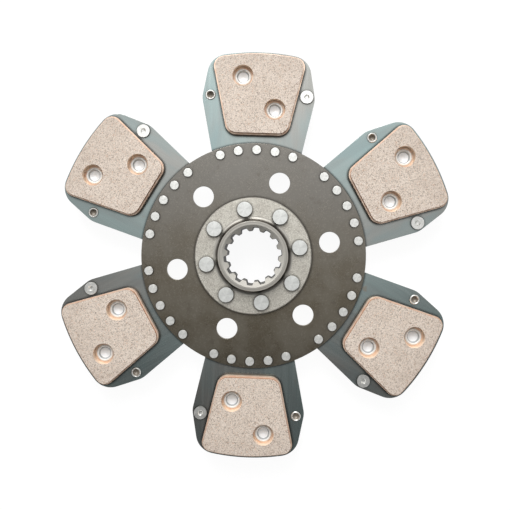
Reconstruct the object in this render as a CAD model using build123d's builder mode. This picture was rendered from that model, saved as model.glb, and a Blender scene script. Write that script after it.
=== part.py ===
"""Clutch disc with a rigid splined hub and six cushioned paddles that carry sintered pads.

The axis is +Z and points to the side with the hub's flange. The hub's rear end lies on z = 0.
Paddle 1 points along +Y and the others follow it counter-clockwise. Sizes are in millimetres.
"""

import math
import os

from build123d import *

# Whole disc
disc_d = 332.0
paddle_count = 6
running_clearance = 0.1  # all round, between a rivet and its hole

# Hub: one forging with a sleeve, a flange and a raised collar
hub_length = 36.0
sleeve_d = 56.0
sleeve_chamfer = 1.5
flange_d = 94.5
flange_thickness = 5.0
flange_edge = 0.8
collar_height = 8.0
collar_edge = 0.4
collar_fillet = 3.8

# Internal spline, straight flanks
spline_teeth = 14
spline_pitch_d = 44.45
spline_tip_d = 41.3
spline_root_d = 47.0
spline_flank_angle = 30.0
spline_tip_round = 1.0
spline_root_round = 0.9
spline_first_tooth = 21.25  # direction of the first tooth, from +X
lead_in_d = 50.0

# Drive plate
plate_d = 183.0
plate_thickness = 3.0
plate_bore_clearance = 0.2
window_d = 17.0
window_circle_d = 126.0
window_angle = 12.0  # direction of the first window, from +X

# Hub rivets
hub_rivet_count = 8
hub_rivet_circle_d = 76.0
hub_rivet_shank_d = 8.0
hub_rivet_head_d = 12.0
hub_rivet_head_height = 3.0

# Cushion segments: spring steel, two in each paddle. The front one is flat, the rear one joggled.
segment_thickness = 1.2
cushion_gap = 1.6
segment_inner_margin = 7.0  # from the rivet circle in to the segments' inner edge
joggle_margin = 2.0  # from the drive plate's edge out to the first bend
joggle_length = 4.0
neck_margin = 7.2  # out from the outermost segment rivet, where the sides leave the drive plate
shoulder_width = 92.1  # at the widest place, before rounding
shoulder_setback = 37.8  # of the widest place, in from the disc's edge
shoulder_round = 16.0
tip_width = 80.3  # between the corners on the outer arc, before rounding
tip_round = 16.5

# Segment rivets, through the drive plate and both segments
segment_rivet_count = 5
segment_rivet_pitch = 10.0  # degrees
segment_rivet_margin = 5.5  # from the drive plate's edge in to the rivet circle
segment_rivet_shank_d = 4.2
segment_rivet_head_d = 7.0
segment_rivet_head_height = 1.6

# Pads: a pressed backing cup that holds a sintered friction block
pad_height = 7.0  # from the segment to the friction face
pad_margin = 0.5  # from the last bend to the pad
pad_setback = 2.4  # of its outer edge, in from the disc's edge
pad_inner_margin = 21.5  # in from the paddle's widest place to the pad's inner corners, across
pad_outer_margin = 7.7  # the same to its outer corners
pad_inner_round = 9.5
pad_outer_round = 8.0
cup_floor = 1.0
cup_wall = 1.2
friction_stand = 2.5  # how far the friction block stands out of its cup
rivet_well_d = 17.0

# Pad rivets: semi-tubular, rolled over on the floor of the cup
pad_rivet_shank_d = 10.0
pad_rivet_head_d = 14.0
pad_rivet_head_height = 1.0
pad_rivet_lip_d = 13.5
pad_rivet_lip_height = 1.4
pad_rivet_mouth_d = 9.4
pad_rivet_bore_d = 8.4
pad_rivet_bore_depth = 2.0
pad_rivet_outer_across = -13.0
pad_rivet_outer_setback = 21.0  # in from the disc's edge
pad_rivet_inner_across = 13.5
pad_rivet_inner_setback = 20.5  # out from the pad's inner edge

# Stop rivets: tubular, one from each side of a paddle
stop_rivet_margin = 6.8  # in from the paddle's widest place
stop_rivet_advance = 2.2  # from the widest place towards the disc's edge
stop_rivet_shank_d = 6.0
stop_rivet_head_d = 10.5
stop_rivet_head_height = 1.3
stop_rivet_dimple_d = 4.2
stop_rivet_dimple_floor_d = 2.6
stop_rivet_dimple_depth = 1.0
stop_rivet_lip_d = 8.0
stop_rivet_lip_height = 0.9
stop_rivet_mouth_d = 5.4
stop_rivet_bore_d = 4.6
stop_rivet_bore_depth = 2.6

rivet_bore_point = 1.0  # depth of the cone at the bottom of a rivet's bore
lip_bevel_share = 0.35  # of a lip's width, taken by the bevel on each of its sides

# Heights along the axis
flange_front_z = hub_length - collar_height
flange_rear_z = flange_front_z - flange_thickness
plate_rear_z = flange_rear_z - plate_thickness
meeting_z = plate_rear_z - segment_thickness  # plane where the two segments of a paddle meet
middle_z = meeting_z - cushion_gap / 2  # halfway between them, where they stand apart

# Heights above the middle plane, in a paddle
segment_inside = cushion_gap / 2
segment_outside = segment_inside + segment_thickness
cup_inside = segment_outside + cup_floor
cup_rim = segment_outside + pad_height - friction_stand
friction_face = segment_outside + pad_height

disc_r = disc_d / 2
paddle_step = 360 / paddle_count

# From the drive plate's edge inwards and outwards
segment_rivet_circle_d = plate_d - 2 * segment_rivet_margin
segment_inner_d = segment_rivet_circle_d - 2 * segment_inner_margin
joggle_start = plate_d / 2 + joggle_margin
joggle_end = joggle_start + joggle_length
pad_inner_reach = joggle_end + pad_margin
pad_r = disc_r - pad_setback

# Across and along a paddle
outermost_rivet_angle = math.radians((segment_rivet_count - 1) / 2 * segment_rivet_pitch)
neck_width = segment_rivet_circle_d * math.sin(outermost_rivet_angle) + 2 * neck_margin
pad_inner_width = shoulder_width - 2 * pad_inner_margin
pad_outer_width = shoulder_width - 2 * pad_outer_margin
shoulder_reach = disc_r - shoulder_setback
pad_rivet_places = [
    (pad_rivet_outer_across, disc_r - pad_rivet_outer_setback),
    (pad_rivet_inner_across, pad_inner_reach + pad_rivet_inner_setback),
]
stop_rivet_across = shoulder_width / 2 - stop_rivet_margin
stop_rivet_along = shoulder_reach + stop_rivet_advance


def hole_d(shank_d):
    """Diameter of the hole that a rivet's shank passes."""
    return shank_d + 2 * running_clearance


def on_circle(circle_d, degrees):
    """Point on a circle round the axis."""
    angle = math.radians(degrees)
    return (circle_d / 2 * math.cos(angle), circle_d / 2 * math.sin(angle))


def paddle_plane(number, rear=False):
    """Plane of a paddle: x across it, y outwards, z away from the middle plane."""
    angle = math.radians(90 + paddle_step * (number - 1))
    side = -1 if rear else 1
    across = (side * math.sin(angle), -side * math.cos(angle), 0)
    return Plane(origin=(0, 0, middle_z), x_dir=across, z_dir=(0, 0, side))


def rivet_angles():
    """Directions of one paddle's segment rivets, from the paddle's own axis."""
    middle = (segment_rivet_count - 1) / 2
    return [(i - middle) * segment_rivet_pitch for i in range(segment_rivet_count)]


def hub_rivet_places():
    """Centres of the hub rivets. The first lies in line with the first window."""
    step = 360 / hub_rivet_count
    return [on_circle(hub_rivet_circle_d, window_angle + step * i) for i in range(hub_rivet_count)]


def segment_rivet_places():
    """Centres of the segment rivets in a paddle's own plane."""
    return [on_circle(segment_rivet_circle_d, 90 + angle) for angle in rivet_angles()]


def stop_rivet_places():
    """Centres of both stop rivets in a paddle's own plane. The lip of the first is in front."""
    return [(-stop_rivet_across, stop_rivet_along), (stop_rivet_across, stop_rivet_along)]


def save(piece, label):
    """Write a finished piece under its own name."""
    piece.label = label
    export_step(piece, f"parts/{label}.step")


os.makedirs("parts", exist_ok=True)

# One tooth of the spline, along +X: as wide as its gap on the pitch circle
with BuildSketch() as tooth:
    tooth_half = math.pi * spline_pitch_d / spline_teeth / 4
    flank_slope = math.tan(math.radians(spline_flank_angle))
    tooth_start = spline_tip_d / 2 - 1
    tooth_end = spline_root_d / 2 + 1
    start_half = tooth_half - (spline_pitch_d / 2 - tooth_start) * flank_slope
    end_half = tooth_half + (tooth_end - spline_pitch_d / 2) * flank_slope
    with BuildLine():
        Polyline(
            (tooth_start, -start_half),
            (tooth_end, -end_half),
            (tooth_end, end_half),
            (tooth_start, start_half),
            close=True,
        )
    make_face()

# Hub. The turned profile runs up the inside and back down the outside.
with BuildPart() as hub:
    with BuildSketch(Plane.XZ):
        with BuildLine():
            Polyline(
                (0, 0),
                (sleeve_d / 2 - sleeve_chamfer, 0),
                (sleeve_d / 2, sleeve_chamfer),
                (sleeve_d / 2, flange_rear_z),
                (flange_d / 2 - flange_edge, flange_rear_z),
                (flange_d / 2, flange_rear_z + flange_edge),
                (flange_d / 2, flange_front_z - flange_edge),
                (flange_d / 2 - flange_edge, flange_front_z),
                (sleeve_d / 2 + collar_fillet, flange_front_z),
            )
            RadiusArc(
                (sleeve_d / 2 + collar_fillet, flange_front_z),
                (sleeve_d / 2, flange_front_z + collar_fillet),
                collar_fillet,
            )
            Polyline(
                (sleeve_d / 2, flange_front_z + collar_fillet),
                (sleeve_d / 2, hub_length - collar_edge),
                (sleeve_d / 2 - collar_edge, hub_length),
                (0, hub_length),
                (0, 0),
            )
        make_face()
    revolve(axis=Axis.Z)

    # Splined bore: the tip circle, and the root circle less the teeth
    with BuildSketch() as bore:
        Circle(spline_root_d / 2)
        with PolarLocations(0, spline_teeth, start_angle=spline_first_tooth):
            add(tooth.sketch, mode=Mode.SUBTRACT)
        Circle(spline_tip_d / 2)
        roots = [v for v in bore.vertices() if math.hypot(v.X, v.Y) > spline_pitch_d / 2]
        fillet(roots, spline_root_round)
        tips = [v for v in bore.vertices() if abs(math.hypot(v.X, v.Y) - spline_tip_d / 2) < 1e-6]
        fillet(tips, spline_tip_round)
    extrude(amount=hub_length, mode=Mode.SUBTRACT)

    # Lead-in cones at both ends
    lead_in_depth = (lead_in_d - spline_tip_d) / 2
    with BuildSketch(Plane.XZ):
        for end, inward in ((0, 1), (hub_length, -1)):
            with BuildLine():
                Polyline(
                    (0, end),
                    (lead_in_d / 2, end),
                    (spline_tip_d / 2, end + inward * lead_in_depth),
                    (0, end + inward * lead_in_depth),
                    close=True,
                )
            make_face()
    revolve(axis=Axis.Z, mode=Mode.SUBTRACT)

    with BuildSketch(Plane.XY.offset(flange_rear_z)):
        with Locations(*hub_rivet_places()):
            Circle(hole_d(hub_rivet_shank_d) / 2)
    extrude(amount=flange_thickness, mode=Mode.SUBTRACT)
save(hub.part, "hub")

# Drive plate
with BuildPart() as drive_plate:
    with BuildSketch(Plane.XY.offset(plate_rear_z)):
        Circle(plate_d / 2)
        Circle(sleeve_d / 2 + plate_bore_clearance, mode=Mode.SUBTRACT)
        with PolarLocations(window_circle_d / 2, paddle_count, start_angle=window_angle):
            Circle(window_d / 2, mode=Mode.SUBTRACT)
        with Locations(*hub_rivet_places()):
            Circle(hole_d(hub_rivet_shank_d) / 2, mode=Mode.SUBTRACT)
        for number in range(paddle_count):
            for angle in rivet_angles():
                with Locations(on_circle(segment_rivet_circle_d, 90 + paddle_step * number + angle)):
                    Circle(hole_d(segment_rivet_shank_d) / 2, mode=Mode.SUBTRACT)
    extrude(amount=plate_thickness)
save(drive_plate.part, "drive_plate")


def headed_rivet(shank_d, head_d, head_height, rear_z, front_z):
    """Solid rivet with a flat head on each outer face of what it holds."""
    with BuildPart() as rivet:
        with BuildSketch(Plane.XZ):
            with BuildLine():
                Polyline(
                    (0, rear_z - head_height),
                    (head_d / 2, rear_z - head_height),
                    (head_d / 2, rear_z),
                    (shank_d / 2, rear_z),
                    (shank_d / 2, front_z),
                    (head_d / 2, front_z),
                    (head_d / 2, front_z + head_height),
                    (0, front_z + head_height),
                    close=True,
                )
            make_face()
        revolve(axis=Axis.Z)
    return rivet.part


def tubular_rivet(
    shank_d, head_d, head_height, head_seat, lip_d, lip_height, lip_seat, mouth_d, bore_d, bore_depth
):
    """Rivet that is hollow from its upper end, where it is rolled over into a lip."""
    head_end = head_seat - head_height
    lip_end = lip_seat + lip_height
    bevel = (lip_d - mouth_d) * lip_bevel_share / 2
    with BuildPart() as rivet:
        with BuildSketch(Plane.XZ):
            with BuildLine():
                Polyline(
                    (mouth_d / 2 + bevel, lip_end),
                    (mouth_d / 2, lip_end - bevel),
                    (bore_d / 2, lip_end - bore_depth),
                    (0, lip_end - bore_depth - rivet_bore_point),
                    (0, head_end),
                    (head_d / 2, head_end),
                    (head_d / 2, head_seat),
                    (shank_d / 2, head_seat),
                    (shank_d / 2, lip_seat),
                    (lip_d / 2, lip_seat),
                    (lip_d / 2, lip_end - bevel),
                    (lip_d / 2 - bevel, lip_end),
                    close=True,
                )
            make_face()
        revolve(axis=Axis.Z)
    return rivet.part


# Hub rivets, through the flange and the drive plate
hub_rivet = headed_rivet(
    hub_rivet_shank_d, hub_rivet_head_d, hub_rivet_head_height, plate_rear_z, flange_front_z
)
with BuildPart() as hub_rivets:
    with Locations(*hub_rivet_places()):
        add(hub_rivet)
save(hub_rivets.part, "hub_rivets")

# Paddle outline with all its holes
with BuildSketch() as outline:
    neck_reach = math.sqrt(plate_d**2 - neck_width**2) / 2
    side_slope = (shoulder_width - neck_width) / 2 / (shoulder_reach - neck_reach)
    base_width = neck_width - 2 * side_slope * neck_reach  # of the sides, carried on to the axis
    tip_reach = math.sqrt(disc_d**2 - tip_width**2) / 2
    tip_slope = (shoulder_width - tip_width) / 2 / (tip_reach - shoulder_reach)
    far_reach = disc_r + 5
    far_width = tip_width - 2 * tip_slope * (far_reach - tip_reach)
    with BuildLine():
        Polyline(
            (base_width / 2, 0),
            (shoulder_width / 2, shoulder_reach),
            (far_width / 2, far_reach),
            (-far_width / 2, far_reach),
            (-shoulder_width / 2, shoulder_reach),
            (-base_width / 2, 0),
            close=True,
        )
    make_face()
    shoulders = [v for v in outline.vertices() if abs(v.Y - shoulder_reach) < 1e-6]
    fillet(shoulders, shoulder_round)
    Circle(disc_r, mode=Mode.INTERSECT)
    fillet(outline.vertices().sort_by(Axis.Y)[-2:], tip_round)
    Circle(segment_inner_d / 2, mode=Mode.SUBTRACT)
    with Locations(*segment_rivet_places()):
        Circle(hole_d(segment_rivet_shank_d) / 2, mode=Mode.SUBTRACT)
    with Locations(*pad_rivet_places):
        Circle(hole_d(pad_rivet_shank_d) / 2, mode=Mode.SUBTRACT)
    with Locations(*stop_rivet_places()):
        Circle(hole_d(stop_rivet_shank_d) / 2, mode=Mode.SUBTRACT)

# Front segment: flat
with BuildPart() as front_segment:
    with BuildSketch(Plane.XY.offset(segment_inside)):
        add(outline.sketch)
    extrude(amount=segment_thickness)

# Rear segment: a strip with two soft bends, cut to the outline. It meets the front one at its foot.
with BuildPart() as rear_segment:
    with BuildSketch(Plane.YZ):
        strip_start = segment_inner_d / 4
        strip_end = disc_r + 1
        joggle_middle = (joggle_start + joggle_end) / 2
        with BuildLine():
            for face in (0, segment_thickness):
                Line((strip_start, face - segment_inside), (joggle_start, face - segment_inside))
                bend = TangentArc(
                    (joggle_start, face - segment_inside), (joggle_middle, face), tangent=(1, 0)
                )
                TangentArc(bend @ 1, (joggle_end, face + segment_inside), tangent=bend % 1)
                Line((joggle_end, face + segment_inside), (strip_end, face + segment_inside))
            Line((strip_start, -segment_inside), (strip_start, segment_thickness - segment_inside))
            Line((strip_end, segment_inside), (strip_end, segment_outside))
        make_face()
    extrude(amount=shoulder_width, both=True)
    with BuildSketch(Plane.XY.offset(-segment_inside)):
        add(outline.sketch)
    extrude(amount=segment_inside + segment_outside, mode=Mode.INTERSECT)

# Pad outline: a wedge whose outer edge runs alongside the disc's
with BuildSketch() as pad_outline:
    pad_tip_reach = math.sqrt(pad_r**2 - (pad_outer_width / 2) ** 2)
    pad_slope = (pad_outer_width - pad_inner_width) / 2 / (pad_tip_reach - pad_inner_reach)
    pad_far_width = pad_outer_width + 2 * pad_slope * (disc_r - pad_tip_reach)
    with BuildLine():
        Polyline(
            (pad_inner_width / 2, pad_inner_reach),
            (pad_far_width / 2, disc_r),
            (-pad_far_width / 2, disc_r),
            (-pad_inner_width / 2, pad_inner_reach),
            close=True,
        )
    make_face()
    Circle(pad_r, mode=Mode.INTERSECT)
    fillet(pad_outline.vertices().sort_by(Axis.Y)[-2:], pad_outer_round)
    fillet(pad_outline.vertices().sort_by(Axis.Y)[:2], pad_inner_round)

# Backing cup
with BuildPart() as backing:
    with BuildSketch(Plane.XY.offset(segment_outside)):
        add(pad_outline.sketch)
    extrude(amount=cup_rim - segment_outside)
    with BuildSketch(Plane.XY.offset(cup_inside)) as inside:
        add(pad_outline.sketch)
        offset(amount=-cup_wall, mode=Mode.REPLACE)
    extrude(amount=cup_rim - cup_inside, mode=Mode.SUBTRACT)
    with BuildSketch(Plane.XY.offset(segment_outside)):
        with Locations(*pad_rivet_places):
            Circle(hole_d(pad_rivet_shank_d) / 2)
    extrude(amount=cup_floor, mode=Mode.SUBTRACT)

# Friction block, which fills the cup and stands out of it
with BuildPart() as friction:
    with BuildSketch(Plane.XY.offset(cup_inside)):
        add(pad_outline.sketch)
        offset(amount=-cup_wall, mode=Mode.REPLACE)
        with Locations(*pad_rivet_places):
            Circle(rivet_well_d / 2, mode=Mode.SUBTRACT)
    extrude(amount=friction_face - cup_inside)

# Segment rivet, through the drive plate and both segments
segment_rivet = headed_rivet(
    segment_rivet_shank_d,
    segment_rivet_head_d,
    segment_rivet_head_height,
    segment_inside - segment_thickness,
    segment_outside + plate_thickness,
)

# Pad rivet: its flat head lies in the cushion gap
pad_rivet = tubular_rivet(
    pad_rivet_shank_d,
    pad_rivet_head_d,
    pad_rivet_head_height,
    segment_inside,
    pad_rivet_lip_d,
    pad_rivet_lip_height,
    cup_inside,
    pad_rivet_mouth_d,
    pad_rivet_bore_d,
    pad_rivet_bore_depth,
)

# Stop rivet: its head holds one segment and its lip the other, which keeps the cushion gap
with BuildPart() as stop_rivet:
    add(
        tubular_rivet(
            stop_rivet_shank_d,
            stop_rivet_head_d,
            stop_rivet_head_height,
            -segment_outside,
            stop_rivet_lip_d,
            stop_rivet_lip_height,
            segment_outside,
            stop_rivet_mouth_d,
            stop_rivet_bore_d,
            stop_rivet_bore_depth,
        )
    )
    head_end = -segment_outside - stop_rivet_head_height
    with BuildSketch(Plane.XZ):
        with BuildLine():
            Polyline(
                (0, head_end),
                (stop_rivet_dimple_d / 2, head_end),
                (stop_rivet_dimple_floor_d / 2, head_end + stop_rivet_dimple_depth),
                (0, head_end + stop_rivet_dimple_depth),
                close=True,
            )
        make_face()
    revolve(axis=Axis.Z, mode=Mode.SUBTRACT)

# The pieces that each side of each paddle carries
for number in range(1, paddle_count + 1):
    for side, rear, segment in (("front", False, front_segment), ("rear", True, rear_segment)):
        for piece, name in ((segment, "segment"), (backing, "backing"), (friction, "friction")):
            with BuildPart() as placed:
                with Locations(paddle_plane(number, rear)):
                    add(piece.part)
            save(placed.part, f"{side}_{name}_{number}")

# The rivets of each paddle
for number in range(1, paddle_count + 1):
    with BuildPart() as segment_rivets:
        with Locations(paddle_plane(number)):
            with Locations(*segment_rivet_places()):
                add(segment_rivet)
    save(segment_rivets.part, f"segment_rivets_{number}")

    with BuildPart() as pad_rivets:
        for rear in (False, True):
            with Locations(paddle_plane(number, rear)):
                with Locations(*pad_rivet_places):
                    add(pad_rivet)
    save(pad_rivets.part, f"pad_rivets_{number}")

    with BuildPart() as stop_rivets:
        for rear in (False, True):
            with Locations(paddle_plane(number, rear)):
                with Locations(stop_rivet_places()[0]):
                    add(stop_rivet.part)
    save(stop_rivets.part, f"stop_rivets_{number}")
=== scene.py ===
"""Looks of a clutch disc with a rigid splined hub and six cushioned paddles.

Metres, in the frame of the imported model: the axis is +Z, the hub's rear end lies on z = 0 and
paddle 1 points along +Y. Object coordinates are the model's own, so patterns are placed by them.
"""

import math

import bmesh
import bpy
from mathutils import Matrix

MM = 0.001
PADDLES = 6

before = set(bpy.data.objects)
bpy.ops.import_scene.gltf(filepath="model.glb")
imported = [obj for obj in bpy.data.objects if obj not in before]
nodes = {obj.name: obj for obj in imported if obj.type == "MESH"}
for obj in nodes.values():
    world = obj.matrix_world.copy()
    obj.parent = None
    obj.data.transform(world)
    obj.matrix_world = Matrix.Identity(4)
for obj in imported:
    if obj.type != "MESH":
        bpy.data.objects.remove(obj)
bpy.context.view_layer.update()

# Camera, above the disc and a little to the upper right of its axis
CAMERA_PLACE = (11.54 * MM, 8.06 * MM, 515 * MM)
CAMERA_TURN = (-0.809, 1.204, 1.912)  # degrees about X, Y and Z
CAMERA_LENS = 42.70
CAMERA_SENSOR = 36

# Radii about the axis
LEAD_IN = 25 * MM
COLLAR_LINE = 26.7 * MM
COLLAR = 28 * MM
FILLET_END = 31.8 * MM
FLANGE = 47.25 * MM
DISC = 166 * MM
# Painted shade on the pads, growing from this radius
PAD_SHADE_START = 130 * MM  # from here out to the disc's edge

# Rings of rivets: radius, pitch and first direction
HUB_RING = (38 * MM, math.radians(45), math.radians(12))
SEGMENT_RING = (86 * MM, math.radians(10), 0.0)

# Places in a paddle: across it and out from the axis
WELLS = ((-13 * MM, 145 * MM), (13.5 * MM, 118.5 * MM))
STOP_RIVET = (39.25 * MM, 130.4 * MM)
PADDLE_EDGE = 40 * MM  # across

# Radii and heights in the wells and the stop rivets
WELL = 9.2 * MM
PAD_RIVET_MOUTH = 5 * MM
STOP_RIVET_BORE = 2.6 * MM
MIDDLE_HEIGHT = 18 * MM
STOP_BORE_PAST_MIDDLE = 1.1 * MM

# Rounded edges of each kind of piece
EDGES = {
    "hub": 0.15 * MM,
    "drive_plate": 0.2 * MM,
    "hub_rivets": 0.4 * MM,
    "segment": 0.15 * MM,
    "backing": 0.12 * MM,
    "friction": 0.25 * MM,
    "segment_rivets": 0.35 * MM,
    "pad_rivets": 0.3 * MM,
    "stop_rivets": 0.25 * MM,
}
EDGE_SEGMENTS = 2
EDGE_ANGLE = math.radians(32)
WELD_REACH = 0.001 * MM

# Colours that stand in more than one place
# Near black of the painted shade in corners and beside walls
CORNER_SHADE = (0.02, 0.018, 0.016)
# Dark of the painted shade on the flange's edge and the collar's line
PAINTED_LINE_SHADE = (0.16, 0.15, 0.13)
# Dark of the painted sheen on rivet heads
PAINTED_SHEEN_DARK = (0.42, 0.43, 0.41)
# Dark grains, and the painted shade towards the pads' outer edge
DARK_GRAIN_AND_SHADE = (0.42, 0.34, 0.28)
PORE = (0.23, 0.16, 0.12)

# Room light: a large soft box that leans towards +Y and ends a little past the zenith, a faint
# ceiling, and a pale skirt low down that fades towards -Y
BOX_LEAN = math.radians(35)
BOX_FADE = (0.25, 0.80)  # cosines from its middle
BOX_END = (-0.23, 0.20)  # heights along +Y, in the room's directions
BOX_SIDES = (0.05, 0.62)  # shares across, where its sides fade
BOX_SIDE_LOSS = 0.72
BOX_LEVEL = 1.26
CEILING_FADE = (0.70, 1.00)
CEILING_LEVEL = 0.15
SKIRT_FADE = (0.60, 0.25)
SKIRT_LEVEL = 0.45
SKIRT_DIM = (-0.1, 0.6)  # shares towards -Y, where it fades
SKIRT_LOSS = 0.85
WALL_LEVEL = 0.04

# Key lamp, a soft box
KEY_PLACE = (-0.25, 1.44, 1.1)
KEY_SIZE = (1.4, 0.9)
KEY_POWER = 29

# Floor: radii of its middle and its flat part, radius of the curve, height of the top
FLOOR_MIDDLE = 0.4
FLOOR_FLAT = 2.2
FLOOR_COVE = 0.5
FLOOR_TOP = 0.95
FLOOR_COVE_STEPS = 8
FLOOR_AROUND = 96
FLOOR_GAP = 0.1 * MM
PAPER = 0.6  # in the object's own light
SHADE = 0.13  # what takes the shadow, to the camera
GLOW = 0.93


def add_camera():
    """Camera of the photograph, which looks almost straight down."""
    data = bpy.data.cameras.new("camera")
    data.sensor_width = CAMERA_SENSOR
    data.lens = CAMERA_LENS
    camera = bpy.data.objects.new("camera", data)
    camera.location = CAMERA_PLACE
    camera.rotation_euler = [math.radians(turn) for turn in CAMERA_TURN]
    bpy.context.scene.collection.objects.link(camera)
    bpy.context.scene.camera = camera


class Surface:
    """One procedural material and short calls for the nodes that it is made of."""

    def __init__(self, name, metallic=1.0, specular=0.5):
        self.material = bpy.data.materials.new(name)
        self.material.use_nodes = True
        self.tree = self.material.node_tree
        self.tree.nodes.clear()
        self.shader = self.node("ShaderNodeBsdfPrincipled")
        self.shader.inputs["Metallic"].default_value = metallic
        self.shader.inputs["Specular IOR Level"].default_value = specular
        output = self.node("ShaderNodeOutputMaterial")
        self.link(self.shader.outputs["BSDF"], output.inputs["Surface"])
        self.place = self.node("ShaderNodeTexCoord").outputs["Object"]

    def node(self, kind, **settings):
        made = self.tree.nodes.new(kind)
        for key, value in settings.items():
            setattr(made, key, value)
        return made

    def link(self, source, target):
        self.tree.links.new(source, target)

    def feed(self, target, value):
        """Link a socket, or set a number or colour."""
        if isinstance(value, bpy.types.NodeSocket):
            self.link(value, target)
        else:
            target.default_value = value

    def paddle_place(self, number):
        """Object coordinates turned about the axis, so that +Y runs out along a paddle."""
        mapping = self.node("ShaderNodeMapping")
        mapping.inputs["Rotation"].default_value = (0, 0, -math.radians(360 / PADDLES * (number - 1)))
        self.link(self.place, mapping.inputs["Vector"])
        return mapping.outputs["Vector"]

    def lathe(self, distance):
        """A distance as a place, for rings about a middle."""
        made = self.node("ShaderNodeCombineXYZ")
        self.link(distance, made.inputs["X"])
        return made.outputs[0]

    def stretched(self, place, along):
        """A place whose pattern is drawn out along Y, where its scale is the given share."""
        mapping = self.node("ShaderNodeMapping")
        mapping.inputs["Scale"].default_value = (1, along, 1)
        self.link(place, mapping.inputs["Vector"])
        return mapping.outputs["Vector"]

    def noise(self, size, detail=2.0, place=None, shift=0.0, rough=0.5):
        """Noise whose features are about size across, in metres."""
        made = self.node("ShaderNodeTexNoise", noise_dimensions="4D")
        self.link(place or self.place, made.inputs["Vector"])
        made.inputs["Scale"].default_value = 1 / size
        made.inputs["W"].default_value = shift
        made.inputs["Detail"].default_value = detail
        made.inputs["Roughness"].default_value = rough
        return made.outputs["Fac"]

    def speckle(self, size, shift=0.0):
        """Random value in each grain, of the given size across."""
        made = self.node("ShaderNodeTexVoronoi", voronoi_dimensions="4D")
        self.link(self.place, made.inputs["Vector"])
        made.inputs["Scale"].default_value = 1 / size
        made.inputs["W"].default_value = shift
        return self.axes(made.outputs["Color"])["X"]

    def math(self, operation, a, b=0.0):
        made = self.node("ShaderNodeMath", operation=operation)
        self.feed(made.inputs[0], a)
        self.feed(made.inputs[1], b)
        return made.outputs[0]

    def between(self, value, low, high, to_low=0.0, to_high=1.0):
        """Value carried from one range to another, with soft ends."""
        made = self.node("ShaderNodeMapRange", interpolation_type="SMOOTHSTEP")
        self.feed(made.inputs["Value"], value)
        made.inputs["From Min"].default_value = low
        made.inputs["From Max"].default_value = high
        made.inputs["To Min"].default_value = to_low
        made.inputs["To Max"].default_value = to_high
        return made.outputs["Result"]

    def mix(self, share, a, b):
        """Colour that goes from a to b with the share."""
        made = self.node("ShaderNodeMix", data_type="RGBA")
        self.feed(made.inputs["Factor"], share)
        self.feed(made.inputs[6], a if isinstance(a, bpy.types.NodeSocket) else (*a, 1))
        self.feed(made.inputs[7], b if isinstance(b, bpy.types.NodeSocket) else (*b, 1))
        return made.outputs[2]

    def level(self, share, a, b):
        """Number that goes from a to b with the share."""
        made = self.node("ShaderNodeMix", data_type="FLOAT")
        self.feed(made.inputs["Factor"], share)
        self.feed(made.inputs[2], a)
        self.feed(made.inputs[3], b)
        return made.outputs[0]

    def axes(self, place=None):
        made = self.node("ShaderNodeSeparateXYZ")
        self.link(place or self.place, made.inputs[0])
        return made.outputs

    def length(self, across, along):
        """Length of a step across and along."""
        square = self.math("MULTIPLY", across, across)
        return self.math("SQRT", self.math("ADD", square, self.math("MULTIPLY", along, along)))

    def reach(self, place=None, x=0.0, y=0.0):
        """Distance from the axis, or from the line along it that stands at x and y."""
        parts = self.axes(place)
        return self.length(self.math("SUBTRACT", parts["X"], x), self.math("SUBTRACT", parts["Y"], y))

    def facing_up(self, low=0.5, high=0.9):
        """1 on a surface that faces along the axis either way, 0 on one that stands."""
        geometry = self.node("ShaderNodeNewGeometry")
        upward = self.axes(geometry.outputs["True Normal"])["Z"]
        return self.between(self.math("ABSOLUTE", upward), low, high)

    def painted_corner_shade(self, color, depth, share, full=0.5):
        """Colour darkened in corners and beside standing walls: painted shade, from ambient occlusion.

        The share is reached where the open part of the surroundings falls to full.
        """
        near = self.node("ShaderNodeAmbientOcclusion", samples=8)
        near.inputs["Distance"].default_value = depth
        shade_share = self.between(near.outputs["AO"], 0.95, full, 0, share)
        return self.mix(shade_share, color, CORNER_SHADE)

    def ring_place(self, ring, pitch, first):
        """Distance and direction from the middle of the nearest rivet of a ring of them."""
        parts = self.axes()
        turn = self.math("SUBTRACT", self.math("ARCTAN2", parts["Y"], parts["X"]), first)
        nearest = self.math("MULTIPLY", self.math("ROUND", self.math("DIVIDE", turn, pitch)), pitch)
        own = self.math("SUBTRACT", turn, nearest)
        reach = self.reach()
        out = self.math("SUBTRACT", self.math("MULTIPLY", reach, self.math("COSINE", own)), ring)
        side = self.math("MULTIPLY", reach, self.math("SINE", own))
        direction = self.math("ADD", self.math("ARCTAN2", side, out), self.math("ADD", nearest, first))
        return self.length(out, side), direction

    def well_distance(self, own):
        """Distance from the middle of the nearest pad rivet, on either side of the disc."""
        near = None
        for across, along in WELLS:
            for side in (1, -1):
                distance = self.reach(own, side * across, along)
                near = distance if near is None else self.math("MINIMUM", near, distance)
        return near

    def bump(self, height, depth, strength):
        """Relief of the given depth, in metres."""
        made = self.node("ShaderNodeBump")
        made.inputs["Strength"].default_value = strength
        made.inputs["Distance"].default_value = depth
        self.link(height, made.inputs["Height"])
        self.link(made.outputs["Normal"], self.shader.inputs["Normal"])

    def finish(self, color, roughness):
        self.feed(self.shader.inputs["Base Color"], color)
        self.feed(self.shader.inputs["Roughness"], roughness)
        return self.material


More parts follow.
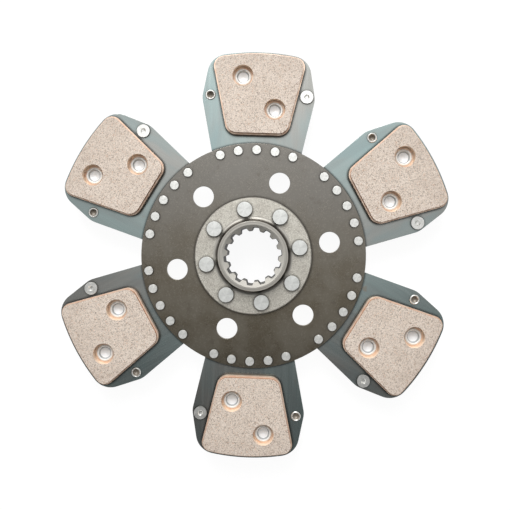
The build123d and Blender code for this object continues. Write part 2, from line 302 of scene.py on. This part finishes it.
def forging_surface():
    """Shot-blasted steel with a sandy skin, turned bright at the collar and dull in the lead-in."""
    s = Surface("forging")
    reach = s.reach()
    blotches = s.between(s.noise(9 * MM, 4), 0.35, 0.65)
    color = s.mix(blotches, (0.57, 0.54, 0.475), (0.65, 0.625, 0.555))
    grain = s.speckle(0.6 * MM)
    color = s.mix(s.between(grain, 0.55, 1, 0, 0.5), color, (0.30, 0.275, 0.235))
    color = s.mix(s.between(grain, 0.4, 0, 0, 0.45), color, (0.92, 0.89, 0.82))

    turned = s.between(reach, FILLET_END + 0.8 * MM, FILLET_END)
    rings = s.noise(0.5 * MM, 2, s.lathe(reach))
    steel = s.mix(s.between(rings, 0.35, 0.65), (0.45, 0.43, 0.39), (0.55, 0.53, 0.48))
    # Painted shade: the root of the fillet beside the collar is darkened
    past_collar = s.between(reach, COLLAR - 0.1 * MM, COLLAR + 0.1 * MM)
    root_shade = s.math("MULTIPLY", s.between(reach, FILLET_END - 0.5 * MM, FILLET_END - 2.6 * MM), past_collar)
    steel = s.mix(root_shade, steel, (0.085, 0.076, 0.066))
    # Painted shade: a thin dark line on the collar's top, for the shade of a fine turned groove
    line = s.math("ABSOLUTE", s.math("SUBTRACT", reach, COLLAR_LINE))
    steel = s.mix(s.between(line, 0.3 * MM, 0.1 * MM, 0, 0.4), steel, PAINTED_LINE_SHADE)
    # Painted shade in the hub's corners and beside its walls, from ambient occlusion
    color = s.painted_corner_shade(s.mix(turned, color, steel), 3 * MM, 0.9)

    machined = s.between(reach, LEAD_IN + 0.3 * MM, LEAD_IN)
    color = s.mix(machined, color, (0.58, 0.56, 0.51))
    # Painted shade: a dark band on the flange's edge
    rim_shade = s.between(reach, FLANGE - 0.95 * MM, FLANGE - 0.35 * MM, 0, 0.65)
    color = s.mix(rim_shade, color, PAINTED_LINE_SHADE)
    # Painted shade: the standing walls in the bore are darkened
    standing = s.math("MULTIPLY", machined, s.facing_up(0.5, 0.25))
    color = s.mix(standing, color, (0.10, 0.095, 0.085))

    s.bump(s.math("MULTIPLY", grain, s.math("SUBTRACT", 1.0, turned)), 0.04 * MM, 0.6)
    metallic = s.math("SUBTRACT", s.between(turned, 0, 1, 0.7, 1.0), machined)
    s.feed(s.shader.inputs["Metallic"], metallic)
    s.feed(s.shader.inputs["Specular IOR Level"], s.between(machined, 0, 1, 0.5, 0.08))
    on_collar = s.between(reach, COLLAR + 0.3 * MM, COLLAR - 0.1 * MM)
    return s.finish(color, s.level(machined, s.level(on_collar, 0.48, 0.34), 0.5))


def plate_surface():
    """Oiled dark steel: brown and grey clouds, smudges and a fine grain."""
    s = Surface("plate", metallic=0.95)
    clouds = s.between(s.noise(26 * MM, 5, rough=0.6), 0.35, 0.65)
    color = s.mix(clouds, (0.172, 0.147, 0.107), (0.218, 0.197, 0.157))
    # Greyer towards +Y, with a wavy edge
    greyer_along_y = s.math("ADD", s.axes()["Y"], s.math("MULTIPLY", s.noise(40 * MM, 2, shift=4), 60 * MM))
    color = s.mix(s.between(greyer_along_y, -20 * MM, 110 * MM, 0, 0.65), color, (0.21, 0.206, 0.198))
    smudges = s.between(s.noise(7 * MM, 4, shift=7), 0.58, 0.72)
    color = s.mix(s.math("MULTIPLY", smudges, 0.35), color, (0.13, 0.11, 0.09))
    grain = s.speckle(0.8 * MM, 2)
    color = s.mix(s.between(grain, 0.7, 1, 0, 0.25), color, (0.36, 0.33, 0.29))
    s.bump(grain, 0.02 * MM, 0.3)
    # Painted shade beside the flange and the rivets, from ambient occlusion
    return s.finish(s.painted_corner_shade(color, 3.5 * MM, 0.85), s.between(clouds, 0, 1, 0.26, 0.33))


def segment_surface(number):
    """Satin spring steel with streaks along the paddle, bluer towards its left side."""
    s = Surface(f"spring_steel_{number}")
    own = s.paddle_place(number)
    streaks = s.noise(1.1 * MM, 4, s.stretched(own, 0.02), shift=number)
    bands = s.noise(9 * MM, 3, s.stretched(own, 0.15), shift=number + 20)
    side = s.between(s.axes(own)["X"], -PADDLE_EDGE, PADDLE_EDGE)
    color = s.mix(side, (0.31, 0.385, 0.378), (0.345, 0.343, 0.322))
    color = s.mix(s.between(streaks, 0.3, 0.7, 0, 0.16), color, (0.50, 0.53, 0.52))
    color = s.mix(s.between(bands, 0.4, 0.65, 0, 0.4), color, (0.27, 0.285, 0.28))
    tinted = s.noise(14 * MM, 2, s.stretched(own, 0.35), shift=number + 40)
    color = s.mix(s.between(tinted, 0.45, 0.7, 0, 0.35), color, (0.26, 0.38, 0.39))
    rust = s.between(s.noise(6 * MM, 3, shift=number * 3 + 1), 0.66, 0.78)
    color = s.mix(s.math("MULTIPLY", rust, 0.35), color, (0.36, 0.24, 0.14))
    s.bump(streaks, 0.02 * MM, 0.25)
    # Painted shade beside the plate's edge, the pads and the rivets, from ambient occlusion
    return s.finish(s.painted_corner_shade(color, 3 * MM, 0.8, 0.62), s.between(streaks, 0.3, 0.7, 0.22, 0.27))


def copper_surface():
    """Pale copper plating, dulled in patches."""
    s = Surface("copper_plated", metallic=0.6)
    patches = s.between(s.noise(5 * MM, 4), 0.35, 0.65)
    color = s.mix(patches, (0.80, 0.58, 0.44), (0.90, 0.73, 0.59))
    s.bump(s.noise(0.6 * MM, 2, shift=3), 0.02 * MM, 0.4)
    return s.finish(color, s.between(patches, 0, 1, 0.5, 0.4))


def sintered_surface(number):
    """Sintered metal: beige with dark and light grains, brown on its sides and pale in its wells."""
    s = Surface(f"sintered_{number}", metallic=0.0, specular=0.4)
    clouds = s.noise(12 * MM, 4)
    color = s.mix(s.between(clouds, 0.3, 0.7), (0.76, 0.64, 0.535), (0.85, 0.73, 0.62))
    grains = s.speckle(0.45 * MM)
    color = s.mix(s.between(grains, 0.5, 0.9, 0, 0.5), color, DARK_GRAIN_AND_SHADE)
    color = s.mix(s.between(grains, 0.5, 0.1, 0, 0.6), color, (0.96, 0.86, 0.78))
    specks = s.speckle(0.65 * MM, 9)
    color = s.mix(s.between(specks, 0.89, 0.91, 0, 0.6), color, PORE)
    pores = s.speckle(0.6 * MM, 15)
    color = s.mix(s.between(pores, 0.90, 0.92, 0, 0.4), color, PORE)
    # Painted shade: the pads darker towards the disc's edge
    color = s.mix(s.between(s.reach(), PAD_SHADE_START, DISC, 0, 0.16), color, DARK_GRAIN_AND_SHADE)
    rusty = s.speckle(0.8 * MM, 21)
    color = s.mix(s.between(rusty, 0.93, 0.98, 0, 0.4), color, (0.66, 0.38, 0.22))
    near = s.well_distance(s.paddle_place(number))
    wall = s.mix(s.between(near, WELL, WELL + 0.8 * MM), (0.92, 0.74, 0.58), (0.42, 0.20, 0.10))
    color = s.mix(s.facing_up(), wall, color)
    s.bump(grains, 0.08 * MM, 0.5)
    return s.finish(color, s.between(clouds, 0.3, 0.7, 0.75, 0.6))


def zinc_color(s, dark, light):
    """Zinc plating with faint spots."""
    return s.mix(s.between(s.noise(2.2 * MM, 4), 0.35, 0.65), dark, light)


def ring_rivet_surface(name, dark, light, ring):
    """Zinc plating with a painted sheen: darker rays that turn about each rivet of a ring of them."""
    s = Surface(name, metallic=0.8)
    distance, direction = s.ring_place(*ring)
    # Painted sheen: darker rays and a fan about each rivet's middle
    sheen_rays = s.math("COSINE", s.math("MULTIPLY", direction, 2.0))
    color = s.mix(s.between(sheen_rays, -1, 1, 0, 0.12), zinc_color(s, dark, light), PAINTED_SHEEN_DARK)
    sheen_fan = s.noise(0.9, 2, s.lathe(direction))
    color = s.mix(s.between(sheen_fan, 0.4, 0.65, 0, 0.25), color, PAINTED_SHEEN_DARK)
    grooves = s.noise(0.5 * MM, 2, s.lathe(distance))
    s.bump(grooves, 0.015 * MM, 0.4)
    return s.finish(color, s.between(grooves, 0.3, 0.7, 0.40, 0.50))


def pad_rivet_surface(number):
    """Bright plating: a white lip and bottom, with painted shade in grey at the step and on walls."""
    s = Surface(f"pad_rivet_{number}", metallic=0.1)
    near = s.well_distance(s.paddle_place(number))
    fine = s.noise(0.6 * MM, 2, shift=8)
    lip = s.mix(s.between(fine, 0.35, 0.65), (0.88, 0.89, 0.88), (0.96, 0.97, 0.96))
    color = s.mix(s.between(near, PAD_RIVET_MOUTH - 0.3 * MM, PAD_RIVET_MOUTH), (1.0, 1.0, 1.0), lip)
    # Painted shade: a grey ring at the step inside the lip
    past_bottom = s.between(near, PAD_RIVET_MOUTH - 1.1 * MM, PAD_RIVET_MOUTH - 0.7 * MM)
    before_lip = s.between(near, PAD_RIVET_MOUTH + 0.2 * MM, PAD_RIVET_MOUTH - 0.1 * MM)
    step = s.math("MULTIPLY", past_bottom, before_lip)
    color = s.mix(s.math("MULTIPLY", step, 0.8), color, (0.32, 0.34, 0.34))
    # Painted shade: grey on the standing walls
    color = s.mix(s.facing_up(0.1, 0.4), (0.34, 0.36, 0.36), color)
    s.bump(fine, 0.01 * MM, 0.3)
    return s.finish(color, 0.38)


def stop_rivet_surface(number):
    """Zinc plating, with a dull brown bore inside the lip: one opens in front, one behind."""
    s = Surface(f"stop_rivet_{number}")
    own = s.paddle_place(number)
    height = s.axes()["Z"]
    inside = None
    for side in (1, -1):
        end = MIDDLE_HEIGHT - side * STOP_BORE_PAST_MIDDLE
        near = s.reach(own, -side * STOP_RIVET[0], STOP_RIVET[1])
        within = s.between(near, STOP_RIVET_BORE + 0.3 * MM, STOP_RIVET_BORE)
        bore = s.math("MULTIPLY", within, s.between(height, end, end + side * 0.1 * MM))
        inside = bore if inside is None else s.math("MAXIMUM", inside, bore)
    color = s.mix(inside, zinc_color(s, (0.77, 0.77, 0.74), (0.91, 0.91, 0.88)), (0.34, 0.30, 0.25))
    s.feed(s.shader.inputs["Metallic"], s.between(inside, 0, 1, 0.9, 0.15))
    return s.finish(color, 0.34)


def add_floor():
    """Pale sweep: a flat floor that rises all round into a wall."""
    profile = [(FLOOR_MIDDLE, 0.0), (FLOOR_FLAT, 0.0)]
    for i in range(1, FLOOR_COVE_STEPS + 1):
        turn = math.pi / 2 * i / FLOOR_COVE_STEPS
        profile.append((FLOOR_FLAT + FLOOR_COVE * math.sin(turn), FLOOR_COVE * (1 - math.cos(turn))))
    profile.append((FLOOR_FLAT + FLOOR_COVE, FLOOR_TOP))
    made = bmesh.new()
    rings = []
    for radius, height in profile:
        ring = []
        for j in range(FLOOR_AROUND):
            turn = 2 * math.pi * j / FLOOR_AROUND
            place = (radius * math.cos(turn), radius * math.sin(turn), height - FLOOR_GAP)
            ring.append(made.verts.new(place))
        rings.append(ring)
    made.faces.new(rings[0])
    for low, high in zip(rings, rings[1:]):
        for j in range(FLOOR_AROUND):
            k = (j + 1) % FLOOR_AROUND
            made.faces.new((low[j], low[k], high[k], high[j]))
    bmesh.ops.recalc_face_normals(made, faces=made.faces)
    mesh = bpy.data.meshes.new("floor")
    made.to_mesh(mesh)
    made.free()
    for face in mesh.polygons:
        face.use_smooth = len(face.vertices) == 4
    floor = bpy.data.objects.new("floor", mesh)
    bpy.context.scene.collection.objects.link(floor)
    mesh.materials.append(floor_material())


def floor_material():
    """White to the camera and in the metal, where it still takes a little shadow."""
    material = bpy.data.materials.new("floor")
    material.use_nodes = True
    tree = material.node_tree
    tree.nodes.clear()
    path = tree.nodes.new("ShaderNodeLightPath")
    seen = path.outputs["Is Camera Ray"]
    for ray in ("Is Glossy Ray", "Is Transmission Ray"):
        either = tree.nodes.new("ShaderNodeMath")
        either.operation = "MAXIMUM"
        tree.links.new(seen, either.inputs[0])
        tree.links.new(path.outputs[ray], either.inputs[1])
        seen = either.outputs[0]
    paper = tree.nodes.new("ShaderNodeBsdfDiffuse")
    paper.inputs["Color"].default_value = (PAPER, PAPER, PAPER, 1)
    shade = tree.nodes.new("ShaderNodeBsdfDiffuse")
    shade.inputs["Color"].default_value = (SHADE, SHADE, SHADE, 1)
    glow = tree.nodes.new("ShaderNodeEmission")
    glow.inputs["Color"].default_value = (1, 1, 1, 1)
    glow.inputs["Strength"].default_value = GLOW
    both = tree.nodes.new("ShaderNodeAddShader")
    tree.links.new(shade.outputs[0], both.inputs[0])
    tree.links.new(glow.outputs[0], both.inputs[1])
    choice = tree.nodes.new("ShaderNodeMixShader")
    tree.links.new(seen, choice.inputs[0])
    tree.links.new(paper.outputs[0], choice.inputs[1])
    tree.links.new(both.outputs[0], choice.inputs[2])
    output = tree.nodes.new("ShaderNodeOutputMaterial")
    tree.links.new(choice.outputs[0], output.inputs["Surface"])
    return material


def add_world():
    """Room light from the direction alone."""
    world = bpy.data.worlds.new("room")
    bpy.context.scene.world = world
    world.use_nodes = True
    tree = world.node_tree
    tree.nodes.clear()
    direction = tree.nodes.new("ShaderNodeTexCoord").outputs["Generated"]

    def component(vector, fade, level):
        """Light that grows with the direction's share along a vector."""
        share = tree.nodes.new("ShaderNodeVectorMath")
        share.operation = "DOT_PRODUCT"
        tree.links.new(direction, share.inputs[0])
        share.inputs[1].default_value = vector
        ramp = tree.nodes.new("ShaderNodeMapRange")
        ramp.interpolation_type = "SMOOTHSTEP"
        ramp.inputs["From Min"].default_value = fade[0]
        ramp.inputs["From Max"].default_value = fade[1]
        ramp.inputs["To Max"].default_value = level
        tree.links.new(share.outputs["Value"], ramp.inputs["Value"])
        return ramp.outputs["Result"]

    def combine(operation, *values):
        made = tree.nodes.new("ShaderNodeMath")
        made.operation = operation
        for socket, value in zip(made.inputs, values):
            if isinstance(value, bpy.types.NodeSocket):
                tree.links.new(value, socket)
            else:
                socket.default_value = value
        return made.outputs[0]

    def dimmed(light, vector, fade, loss):
        """Light that loses a part of its strength towards a vector."""
        return combine("MULTIPLY", light, combine("SUBTRACT", 1.0, component(vector, fade, loss)))

    middle = (0, math.sin(BOX_LEAN), math.cos(BOX_LEAN))
    box = combine("MULTIPLY", component(middle, BOX_FADE, BOX_LEVEL), component((0, 1, 0), BOX_END, 1.0))
    for side in (1, -1):
        box = dimmed(box, (side, 0, 0), BOX_SIDES, BOX_SIDE_LOSS)
    ceiling = component((0, 0, 1), CEILING_FADE, CEILING_LEVEL)
    skirt = dimmed(component((0, 0, 1), SKIRT_FADE, SKIRT_LEVEL), (0, -1, 0), SKIRT_DIM, SKIRT_LOSS)
    total = combine("ADD", combine("ADD", box, ceiling), combine("ADD", skirt, WALL_LEVEL))
    background = tree.nodes.new("ShaderNodeBackground")
    background.inputs["Color"].default_value = (1, 1, 1, 1)
    tree.links.new(total, background.inputs["Strength"])
    output = tree.nodes.new("ShaderNodeOutputWorld")
    tree.links.new(background.outputs[0], output.inputs["Surface"])


def add_key_lamp():
    """Soft box that faces the middle of the disc."""
    data = bpy.data.lights.new("key", "AREA")
    data.shape = "RECTANGLE"
    data.size, data.size_y = KEY_SIZE
    data.energy = KEY_POWER
    lamp = bpy.data.objects.new("key", data)
    lamp.location = KEY_PLACE
    x, y, z = KEY_PLACE
    lamp.rotation_euler = (0, math.atan2(math.hypot(x, y), z), math.atan2(y, x))
    bpy.context.scene.collection.objects.link(lamp)


def soften(node, width):
    """Round a node's edges and shade its flats flat."""
    weld = node.modifiers.new("weld", "WELD")
    weld.merge_threshold = WELD_REACH
    bevel = node.modifiers.new("edges", "BEVEL")
    bevel.width = width
    bevel.segments = EDGE_SEGMENTS
    bevel.limit_method = "ANGLE"
    bevel.angle_limit = EDGE_ANGLE
    shade = node.modifiers.new("shade", "WEIGHTED_NORMAL")
    shade.weight = 50


def dress(name, kind, material):
    """Give a node its material and the rounded edges of its kind."""
    node = nodes[name]
    node.data.materials.clear()
    node.data.materials.append(material)
    soften(node, EDGES[kind])


bpy.context.scene.view_settings.view_transform = "Standard"
add_camera()
add_floor()
add_world()
add_key_lamp()

hub_zinc = ring_rivet_surface("hub_rivet", (0.82, 0.83, 0.80), (0.90, 0.91, 0.885), HUB_RING)
segment_zinc = ring_rivet_surface("zinc_rivet", (0.86, 0.86, 0.825), (0.95, 0.95, 0.915), SEGMENT_RING)
copper = copper_surface()
dress("hub", "hub", forging_surface())
dress("drive_plate", "drive_plate", plate_surface())
dress("hub_rivets", "hub_rivets", hub_zinc)
for number in range(1, PADDLES + 1):
    steel = segment_surface(number)
    sintered = sintered_surface(number)
    for side in ("front", "rear"):
        dress(f"{side}_segment_{number}", "segment", steel)
        dress(f"{side}_backing_{number}", "backing", copper)
        dress(f"{side}_friction_{number}", "friction", sintered)
    dress(f"segment_rivets_{number}", "segment_rivets", segment_zinc)
    dress(f"pad_rivets_{number}", "pad_rivets", pad_rivet_surface(number))
    dress(f"stop_rivets_{number}", "stop_rivets", stop_rivet_surface(number))
